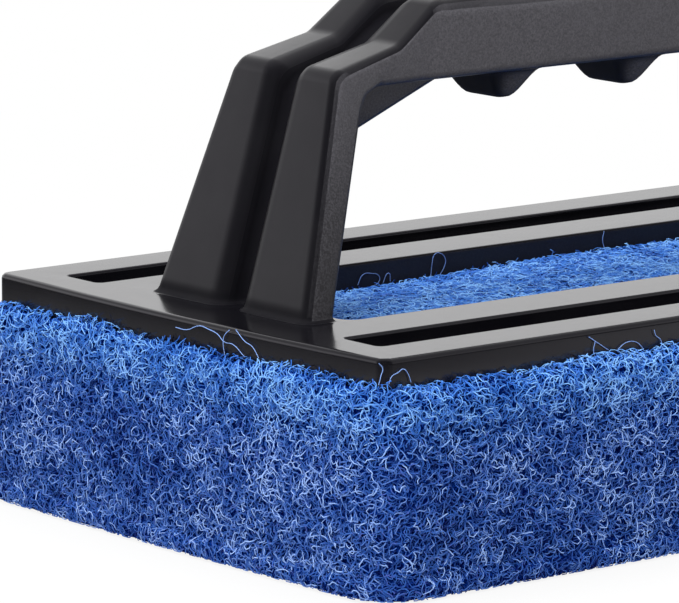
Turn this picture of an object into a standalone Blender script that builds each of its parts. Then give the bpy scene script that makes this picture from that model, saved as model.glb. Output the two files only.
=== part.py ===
"""Hand-held pool wall scrubber.

A bow handle and an open base frame are moulded in one. Two strips of hook tape are bonded into pockets
under the frame, and their hooks hold a thick fibre pad. Metres, +Z up. The origin is the middle of the
pad's scrubbing face, X runs along the grip and Y across it.
"""

import math

import bmesh
import bpy

MM = 0.001

# Fibre pad
PAD_END_OVERHANG = 2.0 * MM
PAD_SIDE_OVERHANG = 3.5 * MM
PAD_THICKNESS = 27.0 * MM
PAD_END_BOW = 0.8 * MM
PAD_CORNER_RADIUS = 8.0 * MM
PAD_BOTTOM_RADIUS = 1.0 * MM
PAD_TOP_RADIUS = 2.0 * MM
PAD_SIDE_BULGE = 0.7 * MM
PAD_CROWN_DROP = 2.4 * MM
PAD_CROWN_REACH = 12.0 * MM
PAD_CROWN_CLEARANCE = 0.6 * MM
PAD_CROWN_CORNER_GROWTH = 0.25
PAD_CLEARANCE = 0.3 * MM

# Base frame, the flat part of the moulding
FRAME_LENGTH = 165.0 * MM
FRAME_WIDTH = 90.0 * MM
FRAME_HEIGHT = 6.0 * MM
FRAME_END_BOW = 1.6 * MM
FRAME_CORNER_RADIUS = 1.7 * MM
FRAME_TOP_RADIUS = 0.8 * MM
FRAME_BOTTOM_RADIUS = 0.4 * MM

# Window and slots through and in the frame
WINDOW_END_MARGIN = 15.6 * MM
WINDOW_WIDTH = 36.4 * MM
WINDOW_CORNER_RADIUS = 2.0 * MM
SLOT_END_MARGIN = 6.4 * MM
SLOT_SIDE_MARGIN = 8.6 * MM
SLOT_WIDTH = 8.0 * MM
SLOT_DEPTH = 2.2 * MM
SLOT_CORNER_RADIUS = 0.8 * MM
OPENING_EDGE_RADIUS = 0.5 * MM

# Hook tape and its adhesive film, in pockets under the long rails
TAPE_END_MARGIN = 11.9 * MM
TAPE_WIDTH = 16.0 * MM
TAPE_BACKING = 0.8 * MM
HOOK_HEIGHT = 1.2 * MM
HOOK_PROUD = 0.2 * MM
HOOK_ROWS = 6
HOOK_EDGE_MARGIN = 0.95 * MM
HOOK_STEM = 0.5 * MM
HOOK_HEAD = 1.1 * MM
HOOK_HEAD_THICKNESS = 0.35 * MM
ADHESIVE_THICKNESS = 0.3 * MM
ADHESIVE_CORNER_RADIUS = 1.0 * MM
BOND_GAP = 0.15 * MM
POCKET_CLEARANCE = 0.4 * MM

# Bow handle, heights measured from the frame's top face
FINGER_ROOM = 31.4 * MM
GRIP_HEIGHT = 11.7 * MM
GRIP_WIDTH = 21.4 * MM
GRIP_TOP_RADIUS = 3.0 * MM
FOOT_SETBACK = 8.2 * MM
FOOT_WIDTH = 35.6 * MM
FOOT_THICKNESS = 5.3 * MM
FOOT_FILLET = 0.9 * MM
FOOT_SINK = 1.0 * MM
KNEE_RISE = 2.7 * MM
KNEE_WIDTH = 24.0 * MM
KNEE_LEAN = 10.3 * MM
KNEE_RADIUS = 3.0 * MM
LEDGE_LENGTH = 12.7 * MM
LEDGE_RISE = 3.0 * MM
LEDGE_RADIUS = 4.0 * MM
SLOPE_LENGTH = 7.8 * MM
SLOPE_RADIUS = 5.0 * MM
LEG_BACK_LEAN = 11.0 * MM
ARMPIT_RADIUS = 3.5 * MM
LEG_EDGE_RADIUS = 1.8 * MM
INNER_EDGE_RADIUS = 1.2 * MM
KNEE_ARMPIT_SHARE = 0.4
LEDGE_ARMPIT_SHARE = 0.9

# Groove that splits each leg into two rails and fades out on the grip
GROOVE_HALF_WIDTH = 1.9 * MM
GROOVE_DEPTH = 4.3 * MM
GROOVE_FOOT_DEPTH = 3.8 * MM
GROOVE_EDGE_RADIUS = 2.9 * MM
GROOVE_FLOOR_RADIUS = 1.2 * MM
GROOVE_FADE = 14.0 * MM

# Web in each armpit of the bow, and the finger ridges under the grip
WEB_SIDE_INSET = 4.7 * MM
WEB_DROP = 9.6 * MM
WEB_REACH = 19.2 * MM
WEB_EDGE = 0.6 * MM
RIDGE_COUNT = 3
RIDGE_PITCH = 24.2 * MM
RIDGE_DEPTH = 4.8 * MM
RIDGE_SIDE_MARGIN = 0.8 * MM
RIDGE_CREST_LENGTH = 7.0 * MM
RIDGE_ROOT_THICKNESS = 10.4 * MM
RIDGE_CREST_THICKNESS = 1.6 * MM
RIDGE_PLAN_ROUNDING = 0.9
JOIN_DEPTH = 0.8 * MM

# Facets
CORNER_STEPS = 5
END_STEPS = 8
EDGE_STEPS = 3
ARC_STEPS = 4
FLOOR_STEPS = 2
CROWN_STEPS = 6
SIDE_STEPS = 4
RIDGE_STEPS = 9
SMOOTH_ANGLE = math.radians(32)

# Sizes and places that follow from those above
PAD_LENGTH = FRAME_LENGTH + 2 * PAD_END_OVERHANG
PAD_WIDTH = FRAME_WIDTH + 2 * PAD_SIDE_OVERHANG
FRAME_BOTTOM = PAD_THICKNESS + PAD_CLEARANCE + HOOK_PROUD
FRAME_TOP = FRAME_BOTTOM + FRAME_HEIGHT
PAD_CROWN_HEIGHT = FRAME_TOP - PAD_CROWN_DROP - PAD_THICKNESS
TAPE_BOTTOM = FRAME_BOTTOM - HOOK_PROUD + HOOK_HEIGHT
ADHESIVE_BOTTOM = TAPE_BOTTOM + TAPE_BACKING + BOND_GAP
POCKET_ROOF = ADHESIVE_BOTTOM + ADHESIVE_THICKNESS + BOND_GAP
POCKET_CORNER_RADIUS = 2 * POCKET_CLEARANCE
FRAME_CORNER_X = FRAME_LENGTH / 2 - FRAME_END_BOW
WINDOW_HALF_LENGTH = FRAME_CORNER_X - WINDOW_END_MARGIN
SLOT_HALF_LENGTH = FRAME_CORNER_X - SLOT_END_MARGIN
SLOT_CENTRE_Y = FRAME_WIDTH / 2 - SLOT_SIDE_MARGIN - SLOT_WIDTH / 2
TAPE_LENGTH = 2 * (FRAME_CORNER_X - TAPE_END_MARGIN)
TAPE_CENTRE_Y = (FRAME_WIDTH + WINDOW_WIDTH) / 4
HOOK_PITCH = (TAPE_WIDTH - 2 * HOOK_EDGE_MARGIN - HOOK_HEAD) / (HOOK_ROWS - 1)
KNEE_HEIGHT = FINGER_ROOM + KNEE_RISE
WEB_WIDTH = GRIP_WIDTH - 2 * WEB_SIDE_INSET
RIDGE_ROOT_LENGTH = GRIP_WIDTH - 2 * RIDGE_SIDE_MARGIN
FOOT_X = -FRAME_CORNER_X + FOOT_SETBACK


def arc(centre_a, centre_b, radius, start, end, steps):
    """Points of a circular arc, angles in degrees."""
    points = []
    for step in range(steps + 1):
        angle = math.radians(start + (end - start) * step / steps)
        points.append((centre_a + radius * math.cos(angle), centre_b + radius * math.sin(angle)))
    return points


def rounded_outline(half_x, half_y, radius, bow=0.0):
    """Rectangle with round corners, anticlockwise, whose two ends bow outwards."""
    outline = []
    for quarter, (sign_x, sign_y) in enumerate(((1, 1), (-1, 1), (-1, -1), (1, -1))):
        centre_x = sign_x * (half_x - radius)
        centre_y = sign_y * (half_y - radius)
        outline += arc(centre_x, centre_y, radius, 90 * quarter, 90 * quarter + 90, CORNER_STEPS)
        if sign_x == sign_y * -1:
            run = 2 * (half_y - radius)
            for step in range(1, END_STEPS):
                outline.append((sign_x * half_x, sign_y * (half_y - radius - run * step / END_STEPS)))
    bowed = []
    for x, y in outline:
        bowed.append((x + bow * (1 - (y / half_y) ** 2) * x / half_x, y))
    return bowed


def ring(outline, height):
    """Lift a flat outline to one height."""
    return [(x, y, height) for x, y in outline]


def make_object(name, mesh_build):
    """New object in the scene from a finished bmesh."""
    bmesh.ops.recalc_face_normals(mesh_build, faces=mesh_build.faces)
    mesh = bpy.data.meshes.new(name)
    mesh_build.to_mesh(mesh)
    mesh_build.free()
    mesh.shade_smooth()
    mesh.set_sharp_from_angle(angle=SMOOTH_ANGLE)
    made = bpy.data.objects.new(name, mesh)
    bpy.context.collection.objects.link(made)
    return made


def loft(name, rings):
    """Closed skin through rings of equally many points, capped at both ends."""
    mesh_build = bmesh.new()
    loops = []
    for points in rings:
        loops.append([mesh_build.verts.new(point) for point in points])
    count = len(loops[0])
    for lower, upper in zip(loops, loops[1:]):
        for index in range(count):
            after = (index + 1) % count
            mesh_build.faces.new((lower[index], lower[after], upper[after], upper[index]))
    mesh_build.faces.new(loops[0])
    mesh_build.faces.new(loops[-1])
    return make_object(name, mesh_build)


def combine(target, tool, operation):
    """Join or cut one object with another, which stays in the scene as a guide."""
    step = target.modifiers.new(tool.name, "BOOLEAN")
    step.operation = operation
    step.solver = "EXACT"
    step.object = tool
    tool.hide_render = True
    tool.display_type = "WIRE"


def plain_material(name, colour, roughness):
    """Principled material with one colour."""
    material = bpy.data.materials.new(name)
    material.use_nodes = True
    shader = material.node_tree.nodes["Principled BSDF"]
    shader.inputs["Base Color"].default_value = (*colour, 1.0)
    shader.inputs["Roughness"].default_value = roughness
    shader.inputs["Metallic"].default_value = 0.0
    return material


def base_plate():
    """Solid plate of the frame with rounded top and bottom edges."""
    profile = []
    for inset, lift in arc(FRAME_BOTTOM_RADIUS, FRAME_BOTTOM_RADIUS, FRAME_BOTTOM_RADIUS, 270, 180, 1):
        profile.append((inset, FRAME_BOTTOM + lift))
    for inset, lift in arc(FRAME_TOP_RADIUS, -FRAME_TOP_RADIUS, FRAME_TOP_RADIUS, 180, 90, EDGE_STEPS):
        profile.append((inset, FRAME_TOP + lift))
    rings = []
    for inset, height in profile:
        outline = rounded_outline(
            FRAME_CORNER_X - inset,
            FRAME_WIDTH / 2 - inset,
            FRAME_CORNER_RADIUS - inset,
            FRAME_END_BOW,
        )
        rings.append(ring(outline, height))
    return loft("handle_frame", rings)


def opening_cutter(name, half_x, half_y, radius, floor, centre_y=0.0):
    """Cutter for a window or slot that leaves a rounded edge on the frame's top face."""
    edge = OPENING_EDGE_RADIUS
    profile = [(0.0, floor)]
    for back, lift in arc(edge, -edge, edge, 180, 90, EDGE_STEPS):
        profile.append((back, FRAME_TOP + lift))
    profile.append((edge, FRAME_TOP + JOIN_DEPTH))
    rings = []
    for grow, height in profile:
        outline = rounded_outline(half_x + grow, half_y + grow, radius + grow)
        rings.append([(x, y + centre_y, height) for x, y in outline])
    return loft(name, rings)


def pocket_cutter(name, centre_y):
    """Cutter for the pocket that takes one hook tape and its film."""
    outline = rounded_outline(
        TAPE_LENGTH / 2 + POCKET_CLEARANCE,
        TAPE_WIDTH / 2 + POCKET_CLEARANCE,
        POCKET_CORNER_RADIUS,
    )
    cutter = loft(name, [ring(outline, FRAME_BOTTOM - JOIN_DEPTH), ring(outline, POCKET_ROOF)])
    cutter.location.y = centre_y
    return cutter


def round_corner(before, corner, after, radius, steps):
    """Points of the arc that rounds one corner of a path in the XZ plane."""
    to_before = math.atan2(before[1] - corner[1], before[0] - corner[0])
    to_after = math.atan2(after[1] - corner[1], after[0] - corner[0])
    turn = (to_after - to_before + math.pi) % (2 * math.pi) - math.pi
    middle = to_before + turn / 2
    reach = radius / math.sin(abs(turn) / 2)
    centre_x = corner[0] + reach * math.cos(middle)
    centre_z = corner[1] + reach * math.sin(middle)
    sweep = math.copysign(180 - math.degrees(abs(turn)), -turn)
    start = math.degrees(to_before) + math.copysign(90, -turn)
    return arc(centre_x, centre_z, radius, start, start + sweep, steps)


def along(path, distance):
    """Point at a distance along a path."""
    for start, end in zip(path, path[1:]):
        length = math.dist(start, end)
        if distance <= length or end is path[-1]:
            share = distance / length
            return (start[0] + (end[0] - start[0]) * share, start[1] + (end[1] - start[1]) * share)
        distance -= length


def mix(first, second, share):
    """Value part of the way from the first to the second."""
    return first + (second - first) * share


def section(station):
    """Closed outline of the bow at one station, as (y, depth behind the outer face)."""
    flare = station["flare"]
    wall = GROOVE_HALF_WIDTH
    floor = GROOVE_DEPTH
    shallow = station["groove"] / GROOVE_DEPTH
    half_width = station["half_width"]
    outer_radius = station["outer_radius"]
    thickness = station["thickness"]
    floor_radius = GROOVE_FLOOR_RADIUS
    groove = [(0.0, floor - flare)]
    groove += arc(wall - floor_radius, floor - floor_radius, floor_radius - flare, 90, 0, FLOOR_STEPS)
    edge = GROOVE_EDGE_RADIUS
    groove += arc(wall + edge, edge, edge + flare, 180, 270, ARC_STEPS)
    half = [(y, (depth + flare) * shallow - flare) for y, depth in groove]
    half += arc(half_width - outer_radius, outer_radius, outer_radius + flare, 270, 360, ARC_STEPS)
    inner = INNER_EDGE_RADIUS
    half += arc(half_width - inner, thickness - inner, inner + flare, 0, 90, FLOOR_STEPS)
    half.append((0.0, thickness + flare))
    other = [(-y, depth) for y, depth in half[-2:0:-1]]
    return half + other


def bow_paths():
    """Outer and inner corner points of the front half of the bow, in the XZ plane."""
    foot = (FOOT_X, FRAME_TOP)
    knee = (FOOT_X + KNEE_LEAN, FRAME_TOP + KNEE_HEIGHT)
    ledge = (knee[0] + LEDGE_LENGTH, knee[1] + LEDGE_RISE)
    grip_top = FRAME_TOP + FINGER_ROOM + GRIP_HEIGHT
    crest = (ledge[0] + SLOPE_LENGTH, grip_top)
    outer = [foot, knee, ledge, crest, (0.0, grip_top)]
    back = (FOOT_X + FOOT_THICKNESS, FRAME_TOP)
    underside = FRAME_TOP + FINGER_ROOM
    armpit = (back[0] + LEG_BACK_LEAN, underside)
    inner = [back, armpit, (0.0, underside)]
    return outer, inner


def bow_stations():
    """Stations of the front half of the bow, from inside the frame to the middle of the grip."""
    outer, inner = bow_paths()
    foot, knee, ledge, crest, middle = outer
    back, armpit, under = inner
    knee_arc = round_corner(foot, knee, ledge, KNEE_RADIUS, ARC_STEPS + 2)
    ledge_arc = round_corner(knee, ledge, crest, LEDGE_RADIUS, ARC_STEPS)
    crest_arc = round_corner(ledge, crest, middle, SLOPE_RADIUS, ARC_STEPS)
    armpit_arc = round_corner(back, armpit, under, ARMPIT_RADIUS, ARC_STEPS * 2)
    inner_path = [back] + armpit_arc + [under]
    leg_run = math.dist(back, armpit_arc[0])
    armpit_run = sum(math.dist(a, b) for a, b in zip(armpit_arc, armpit_arc[1:]))
    armpit_end = leg_run + armpit_run
    foot_slope = KNEE_LEAN / KNEE_HEIGHT
    back_slope = LEG_BACK_LEAN / FINGER_ROOM
    stations = []

    def width_at(outside):
        if outside[0] < knee[0]:
            return mix(FOOT_WIDTH, KNEE_WIDTH, (outside[0] - foot[0]) / KNEE_LEAN)
        return mix(KNEE_WIDTH, GRIP_WIDTH, min((outside[0] - knee[0]) / (crest[0] - knee[0]), 1.0))

    def add(outside, inside, groove, outer_radius, flare=0.0):
        stations.append({
            "outside": outside,
            "inside": inside,
            "thickness": math.dist(outside, inside),
            "half_width": width_at(outside) / 2,
            "groove": groove,
            "outer_radius": outer_radius,
            "flare": flare,
        })

    def add_level(height, flare):
        outside = (foot[0] + height * foot_slope, FRAME_TOP + height)
        inside = (back[0] + height * back_slope, FRAME_TOP + height)
        groove = mix(GROOVE_FOOT_DEPTH, GROOVE_DEPTH, height / KNEE_HEIGHT)
        add(outside, inside, groove, LEG_EDGE_RADIUS, flare)

    def add_arc(points, inner_start, inner_end, radius_start, radius_end):
        for index, outside in enumerate(points):
            share = index / (len(points) - 1)
            inside = along(inner_path, mix(inner_start, inner_end, share))
            add(outside, inside, GROOVE_DEPTH, mix(radius_start, radius_end, share))

    add_level(-FOOT_SINK, FOOT_FILLET)
    for inset, height in arc(FOOT_FILLET, FOOT_FILLET, FOOT_FILLET, 270, 180, EDGE_STEPS):
        add_level(height, inset)
    knee_end = leg_run + armpit_run * KNEE_ARMPIT_SHARE
    add_arc(knee_arc, leg_run - KNEE_RADIUS, knee_end, LEG_EDGE_RADIUS, LEG_EDGE_RADIUS)
    ledge_start = leg_run + armpit_run * LEDGE_ARMPIT_SHARE
    add_arc(ledge_arc, ledge_start, armpit_end + LEDGE_RADIUS / 2, LEG_EDGE_RADIUS, LEG_EDGE_RADIUS)
    crest_start = armpit_end + SLOPE_LENGTH
    add_arc(crest_arc, crest_start, crest_start + SLOPE_RADIUS / 2, LEG_EDGE_RADIUS, GRIP_TOP_RADIUS)
    fade_start = crest_arc[-1]
    for step in range(1, ARC_STEPS + 2):
        share = step / (ARC_STEPS + 1)
        outside = (fade_start[0] + GROOVE_FADE * share, fade_start[1])
        inside_x = mix(stations[-1]["inside"][0], outside[0], share)
        depth = GROOVE_DEPTH * (1 + math.cos(math.pi * share)) / 2
        add(outside, (inside_x, under[1]), depth, GRIP_TOP_RADIUS)
    add(middle, under, 0.0, GRIP_TOP_RADIUS)
    return stations


def bow_handle():
    """Skin of the whole bow, from one foot over the grip to the other."""
    front = []
    for station in bow_stations():
        start_x, start_z = station["outside"]
        end_x, end_z = station["inside"]
        across_x = (end_x - start_x) / station["thickness"]
        across_z = (end_z - start_z) / station["thickness"]
        points = []
        for y, depth in section(station):
            points.append((start_x + across_x * depth, y, start_z + across_z * depth))
        front.append(points)
    rear = [[(-x, y, z) for x, y, z in points] for points in front[-2::-1]]
    return loft("bow_handle", front + rear)


def armpit_web(name, side):
    """Triangular web between a leg and the grip, with eased lower edges."""
    back, armpit, under = bow_paths()[1]
    drop_x = armpit[0] - LEG_BACK_LEAN * WEB_DROP / FINGER_ROOM
    low = (drop_x, under[1] - WEB_DROP)
    far = (armpit[0] + WEB_REACH, under[1])
    length = math.dist(low, far)
    lean_x = (low[1] - far[1]) / length
    lean_z = (far[0] - low[0]) / length
    rings = []
    half = WEB_WIDTH / 2
    for y, lift in ((-half, WEB_EDGE), (WEB_EDGE - half, 0.0), (half - WEB_EDGE, 0.0), (half, WEB_EDGE)):
        triangle = (
            (low[0] - JOIN_DEPTH + lean_x * lift, low[1] + lean_z * lift),
            (far[0] + lean_x * lift, far[1] + lean_z * lift),
            (far[0], far[1] + JOIN_DEPTH),
            (armpit[0] - JOIN_DEPTH, armpit[1] + JOIN_DEPTH),
        )
        rings.append([(-side * x, y, z) for x, z in triangle])
    return loft(name, rings)


def finger_ridge(name, centre_x):
    """Ridge across the underside of the grip, hollow at its root and round at its crest all the way round."""
    underside = FRAME_TOP + FINGER_ROOM
    rings = []
    for step in range(-1, RIDGE_STEPS + 1):
        inwards = max(step, 0) / RIDGE_STEPS
        half_x = mix(RIDGE_ROOT_THICKNESS, RIDGE_CREST_THICKNESS, inwards) / 2
        half_y = mix(RIDGE_ROOT_LENGTH, RIDGE_CREST_LENGTH, inwards) / 2
        drop = RIDGE_DEPTH * inwards * inwards * (3 - 2 * inwards)
        height = underside + JOIN_DEPTH if step < 0 else underside - drop
        outline = rounded_outline(half_x, half_y, min(half_x, half_y) * RIDGE_PLAN_ROUNDING)
        rings.append([(centre_x + x, y, height) for x, y in outline])
    return loft(name, rings)


def handle_frame(plastic):
    """The moulding: plate, bow, webs and ridges joined, then window, slots and pockets cut."""
    frame = base_plate()
    combine(frame, bow_handle(), "UNION")
    for name, side in (("front_web", 1), ("rear_web", -1)):
        combine(frame, armpit_web(name, side), "UNION")
    for number in range(RIDGE_COUNT):
        centre_x = (number - (RIDGE_COUNT - 1) / 2) * RIDGE_PITCH
        combine(frame, finger_ridge(f"ridge_{number + 1}", centre_x), "UNION")
    window = opening_cutter(
        "window_cutter",
        WINDOW_HALF_LENGTH,
        WINDOW_WIDTH / 2,
        WINDOW_CORNER_RADIUS,
        FRAME_BOTTOM - JOIN_DEPTH,
    )
    combine(frame, window, "DIFFERENCE")
    for name, side in (("near", -1), ("far", 1)):
        slot = opening_cutter(
            f"{name}_slot_cutter",
            SLOT_HALF_LENGTH,
            SLOT_WIDTH / 2,
            SLOT_CORNER_RADIUS,
            FRAME_TOP - SLOT_DEPTH,
            side * SLOT_CENTRE_Y,
        )
        combine(frame, slot, "DIFFERENCE")
        combine(frame, pocket_cutter(f"{name}_pocket_cutter", side * TAPE_CENTRE_Y), "DIFFERENCE")
    frame.data.materials.append(plastic)
    return frame


def hook_profile():
    """Cross-section of the hook tape as (y, z), z from the underside of its backing."""
    half = TAPE_WIDTH / 2
    stem_top = HOOK_HEAD_THICKNESS - HOOK_HEIGHT
    profile = [(half, 0.0), (half, TAPE_BACKING), (-half, TAPE_BACKING), (-half, 0.0)]
    for row in range(HOOK_ROWS):
        y = (row - (HOOK_ROWS - 1) / 2) * HOOK_PITCH
        profile += [
            (y - HOOK_STEM / 2, 0.0),
            (y - HOOK_STEM / 2, stem_top),
            (y - HOOK_HEAD / 2, stem_top),
            (y - HOOK_STEM / 2, -HOOK_HEIGHT),
            (y + HOOK_STEM / 2, -HOOK_HEIGHT),
            (y + HOOK_HEAD / 2, stem_top),
            (y + HOOK_STEM / 2, stem_top),
            (y + HOOK_STEM / 2, 0.0),
        ]
    return profile


def hook_tape(name, centre_y, plastic):
    """Strip of hook tape with its rows of hooks as extruded, hooks down."""
    profile = hook_profile()
    half = TAPE_LENGTH / 2
    tape = loft(name, [[(x, y, z) for y, z in profile] for x in (-half, half)])
    tape.location = (0.0, centre_y, TAPE_BOTTOM)
    tape.data.materials.append(plastic)
    return tape


def adhesive_film(name, centre_y, adhesive):
    """Film that bonds one hook tape to the roof of its pocket."""
    outline = rounded_outline(TAPE_LENGTH / 2, TAPE_WIDTH / 2, ADHESIVE_CORNER_RADIUS)
    film = loft(name, [ring(outline, 0.0), ring(outline, ADHESIVE_THICKNESS)])
    film.location = (0.0, centre_y, ADHESIVE_BOTTOM)
    film.data.materials.append(adhesive)
    return film


def scrub_pad(fibre):
    """Fibre pad: a thick block with soft edges that swells up into the frame's window."""
    profile = []
    for inset, height in arc(PAD_BOTTOM_RADIUS, PAD_BOTTOM_RADIUS, PAD_BOTTOM_RADIUS, 270, 180, EDGE_STEPS):
        profile.append((inset + PAD_SIDE_BULGE, height))
    side_top = PAD_THICKNESS - PAD_TOP_RADIUS
    for step in range(1, SIDE_STEPS):
        share = step / SIDE_STEPS
        profile.append((PAD_SIDE_BULGE * (2 * share - 1) ** 2, mix(PAD_BOTTOM_RADIUS, side_top, share)))
    for inset, height in arc(PAD_TOP_RADIUS, side_top, PAD_TOP_RADIUS, 180, 90, EDGE_STEPS):
        profile.append((inset + PAD_SIDE_BULGE, height))
    rings = []
    for inset, height in profile:
        outline = rounded_outline(
            PAD_LENGTH / 2 - PAD_END_BOW - inset,
            PAD_WIDTH / 2 - inset,
            PAD_CORNER_RADIUS - inset,
            PAD_END_BOW,
        )
        rings.append(ring(outline, height))
    crown_half_x = WINDOW_HALF_LENGTH - PAD_CROWN_CLEARANCE
    crown_half_y = WINDOW_WIDTH / 2 - PAD_CROWN_CLEARANCE
    for step in range(CROWN_STEPS + 1):
        share = 1 - math.cos(math.pi / 2 * step / CROWN_STEPS)
        inset = PAD_CROWN_REACH * share
        height = PAD_THICKNESS + PAD_CROWN_HEIGHT * math.sqrt(1 - (1 - share) ** 2)
        corner = WINDOW_CORNER_RADIUS + inset * PAD_CROWN_CORNER_GROWTH
        rings.append(ring(rounded_outline(crown_half_x - inset, crown_half_y - inset, corner), height))
    pad = loft("scrub_pad", rings)
    pad.data.materials.append(fibre)
    return pad


def main():
    for item in list(bpy.data.objects):
        bpy.data.objects.remove(item, do_unlink=True)
    black_plastic = plain_material("black_plastic", (0.022, 0.022, 0.025), 0.42)
    hook_nylon = plain_material("hook_nylon", (0.03, 0.03, 0.032), 0.55)
    adhesive = plain_material("adhesive", (0.55, 0.53, 0.46), 0.5)
    blue_fibre = plain_material("blue_fibre", (0.02, 0.12, 0.55), 0.75)
    handle_frame(black_plastic)
    for side_name, side in (("near", -1), ("far", 1)):
        adhesive_film(f"adhesive_{side_name}", side * TAPE_CENTRE_Y, adhesive)
        hook_tape(f"hook_tape_{side_name}", side * TAPE_CENTRE_Y, hook_nylon)
    scrub_pad(blue_fibre)


main()
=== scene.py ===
"""Looks of the hand-held pool wall scrubber, laid out as a Blender add-on and run as a script."""

import math
from collections import namedtuple
from functools import partial

import bmesh
import bpy
import numpy as np
from bpy.props import FloatProperty, FloatVectorProperty, IntProperty, PointerProperty
from bpy.types import Operator, Panel, PropertyGroup
from mathutils import Matrix, Vector


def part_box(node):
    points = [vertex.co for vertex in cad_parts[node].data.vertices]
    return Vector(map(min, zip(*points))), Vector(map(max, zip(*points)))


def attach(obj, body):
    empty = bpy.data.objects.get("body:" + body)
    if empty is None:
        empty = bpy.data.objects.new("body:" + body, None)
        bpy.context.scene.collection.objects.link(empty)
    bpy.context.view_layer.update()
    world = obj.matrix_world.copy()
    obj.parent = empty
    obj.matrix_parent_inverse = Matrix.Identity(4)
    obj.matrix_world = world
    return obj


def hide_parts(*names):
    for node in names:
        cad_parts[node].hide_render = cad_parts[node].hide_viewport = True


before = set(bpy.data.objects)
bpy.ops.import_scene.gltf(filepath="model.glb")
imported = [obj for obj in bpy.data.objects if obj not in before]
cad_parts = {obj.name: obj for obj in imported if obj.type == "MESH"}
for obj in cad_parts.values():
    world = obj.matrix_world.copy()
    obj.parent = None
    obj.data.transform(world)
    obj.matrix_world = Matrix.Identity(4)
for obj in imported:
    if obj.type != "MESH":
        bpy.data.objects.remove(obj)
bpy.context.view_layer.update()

bl_info = {
    "name": "Pool Wall Scrubber",
    "version": (1, 0, 0),
    "blender": (4, 5, 0),
    "location": "3D View > Sidebar > Scrubber",
    "description": "Builds a bow-handled scrubber with a curled fibre pad around its packed frame",
    "category": "Add Mesh",
}

MM = 0.001

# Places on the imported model
FRAME_LOW, FRAME_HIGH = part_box("handle_frame")
_, PAD_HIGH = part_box("scrub_pad")
PLATE_BOTTOM = FRAME_LOW.z
PLATE_TOP = PLATE_BOTTOM + 6.0 * MM
PLATE_END_BOW = 1.6 * MM
PLATE_CORNER = 1.7 * MM
WINDOW_HALF_LENGTH = 65.3 * MM
WINDOW_HALF_WIDTH = 18.2 * MM
GROOVE_WALL = 2.2 * MM
GROOVE_EDGE = 4.7 * MM
RIDGES_HALF = 36.0 * MM
GRIP_BOTTOM = 64.9 * MM
GRIP_SIDE = 9.0 * MM
PAD_TOP = 27.0 * MM
PAD_END_BOW = 0.8 * MM
PAD_CORNER = 8.0 * MM

# Names of what the meshes of the moulding and the fibres carry
GRAIN = "grain"
POLISH = "polish"
MATT = "matt"
TONE = "tone"
TOP_LIT = "high"
HEIGHT = "height"
FACING = "facing"
BAKE_MAP = "OFBake"


# Nodes


class Value:
    """An output of a node. Arithmetic with it adds Math nodes to its tree."""

    def __init__(self, tree, socket):
        self.tree = tree
        self.socket = socket

    def at(self, name):
        """The output of this name on the same node."""
        return Value(self.tree, next(s for s in self.socket.node.outputs if s.enabled and s.name == name))

    def maths(self, operation, *others, clamp=False):
        """This number taken through a Math node."""
        return maths(self.tree, operation, self, *others, clamp=clamp)

    def __add__(self, other):
        return self.maths("ADD", other)

    def __sub__(self, other):
        return self.maths("SUBTRACT", other)

    def __rsub__(self, other):
        return maths(self.tree, "SUBTRACT", other, self)

    def __mul__(self, other):
        return self.maths("MULTIPLY", other)

    def __truediv__(self, other):
        return self.maths("DIVIDE", other)

    def __rtruediv__(self, other):
        return maths(self.tree, "DIVIDE", other, self)

    def varied(self, middle, amount):
        """A number that goes up and down about its middle, as this one goes from 0 to 1."""
        return self * amount + (middle - amount / 2)

    def spread(self, low, high, start=0.0, end=1.0):
        """This number taken smoothly from low..high to start..end, and held at the ends."""
        feeds = {"Value": self, "From Min": low, "From Max": high, "To Min": start, "To Max": end}
        return put(self.tree, "ShaderNodeMapRange", feeds, interpolation_type="SMOOTHSTEP")

    def blend(self, first, second, kind="RGBA"):
        """A colour, number or vector between two, by this share."""
        return put(self.tree, "ShaderNodeMix", {"Factor": self, "A": first, "B": second}, data_type=kind)

    def vectors(self, operation, *others):
        """This vector taken through a Vector Math node."""
        feeds = dict(enumerate((self, *others)))
        return put(self.tree, "ShaderNodeVectorMath", feeds, operation=operation)

    def scaled(self, scale):
        """This vector, longer or shorter."""
        return put(self.tree, "ShaderNodeVectorMath", {0: self, "Scale": scale}, operation="SCALE")

    def xyz(self):
        """The three numbers of this vector."""
        first = put(self.tree, "ShaderNodeSeparateXYZ", {0: self})
        return first, first.at("Y"), first.at("Z")

    def noise(self, size, detail=2.0, roughness=0.5, distortion=0.0):
        """The noise at this place, in lumps about size across."""
        feeds = {"Vector": self, "Scale": 1.0 / size, "Detail": detail, "Roughness": roughness}
        return put(self.tree, "ShaderNodeTexNoise", {**feeds, "Distortion": distortion})


def put(tree, kind, feeds=None, **settings):
    """The first output of a new node, whose inputs are fed by their names or numbers."""
    node = tree.nodes.new(kind)
    for name, value in settings.items():
        setattr(node, name, value)
    for key, value in (feeds or {}).items():
        named = (s for s in node.inputs if s.enabled and s.name == key)
        socket = node.inputs[key] if isinstance(key, int) else next(named)
        if isinstance(value, Value):
            tree.links.new(value.socket, socket)
        else:
            socket.default_value = value
    return Value(tree, next((s for s in node.outputs if s.enabled), None))


def maths(tree, operation, *values, clamp=False):
    """The output of a Math node."""
    return put(tree, "ShaderNodeMath", dict(enumerate(values)), operation=operation, use_clamp=clamp)


def together(x, y, z=0.0):
    """A vector of three numbers."""
    return put(x.tree, "ShaderNodeCombineXYZ", {"X": x, "Y": y, "Z": z})


# Material nodes


def colour(values):
    """A colour property with its alpha."""
    return (*values, 1.0)


def emptied(block):
    """The node tree of a material or a world, with nothing in it."""
    block.use_nodes = True
    block.node_tree.nodes.clear()
    return block.node_tree


def new_material(name):
    """A material and its empty tree."""
    material = bpy.data.materials.new(name)
    return material, emptied(material)


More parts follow.
